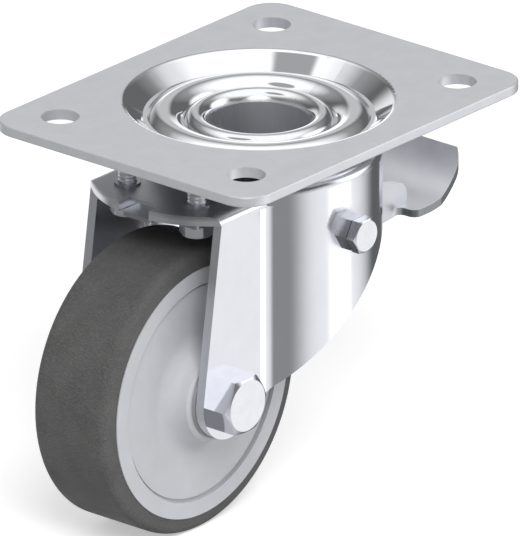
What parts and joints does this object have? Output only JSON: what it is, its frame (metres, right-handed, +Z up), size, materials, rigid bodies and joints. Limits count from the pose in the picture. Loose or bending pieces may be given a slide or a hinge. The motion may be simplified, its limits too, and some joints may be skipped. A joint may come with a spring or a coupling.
{
  "type": "braked swivel caster",
  "caption": "Swivel caster with a rectangular bolt-on plate, a pressed fork, a wide treaded wheel on a roller bearing and a foot pedal that presses a pad onto the tread.",
  "frame": {"origin": "centre of the plate's top face, on the swivel axis", "axes": "+Z up through the plate, +X the side the pedal points to, the wheel trails towards -X, and its axle lies along Y with the bolt heads at -Y"},
  "size_m": [0.1728, 0.11, 0.1298],
  "materials": {
    "zinc_sheet": "bright zinc plating on pressed sheet",
    "zinc_bright": "bright zinc plating, smooth",
    "pedal_steel": "zinc plating on pressed sheet",
    "fastener_steel": "zinc plating on turned steel",
    "spring_steel": "plain spring steel",
    "bearing_steel": "polished hardened steel",
    "tread": "dark brownish grey rubber, matte",
    "pad_rubber": "black rubber, matte",
    "wheel_plastic": "light grey moulded plastic",
    "cage_plastic": "dark moulded plastic"
  },
  "bodies": {
    "head": {"top_plate": "zinc_sheet", "king_rivet": "zinc_bright", "race_cup": "zinc_sheet", "upper_balls": "bearing_steel", "lower_balls": "bearing_steel"},
    "fork": {"fork": "zinc_sheet", "axle_bolt": "fastener_steel", "axle_nut": "fastener_steel", "axle_sleeve": "fastener_steel", "pivot_bolt": "fastener_steel", "pivot_nut": "fastener_steel", "pivot_tube": "fastener_steel", "pivot_collar_near": "fastener_steel", "pivot_collar_far": "fastener_steel", "brake_spring": "spring_steel", "spring_screw_near": "fastener_steel", "spring_screw_far": "fastener_steel", "spring_washer_near": "fastener_steel", "spring_washer_far": "fastener_steel"},
    "wheel": {"wheel_centre": "wheel_plastic", "wheel_hub": "wheel_plastic", "tyre": "tread", "roller_cage": "cage_plastic", "rollers": "bearing_steel", "hub_seal_near": "cage_plastic", "hub_seal_far": "cage_plastic"},
    "pedal": {"pedal": "pedal_steel", "brake_pad": "pad_rubber"}
  },
  "joints": [
    {"name": "swivel", "type": "hinge", "parent": "head", "child": "fork", "pos_m": [0, 0, -0.014], "axis": [0, 0, 1], "continuous": true},
    {"name": "wheel_spin", "type": "hinge", "parent": "fork", "child": "wheel", "pos_m": [-0.047, 0, -0.082], "axis": [0, 1, 0], "continuous": true},
    {"name": "pedal_press", "type": "hinge", "parent": "fork", "child": "pedal", "pos_m": [-0.0027, 0, -0.0342], "axis": [0, 1, 0], "range_deg": [0, 20]}
  ]
}
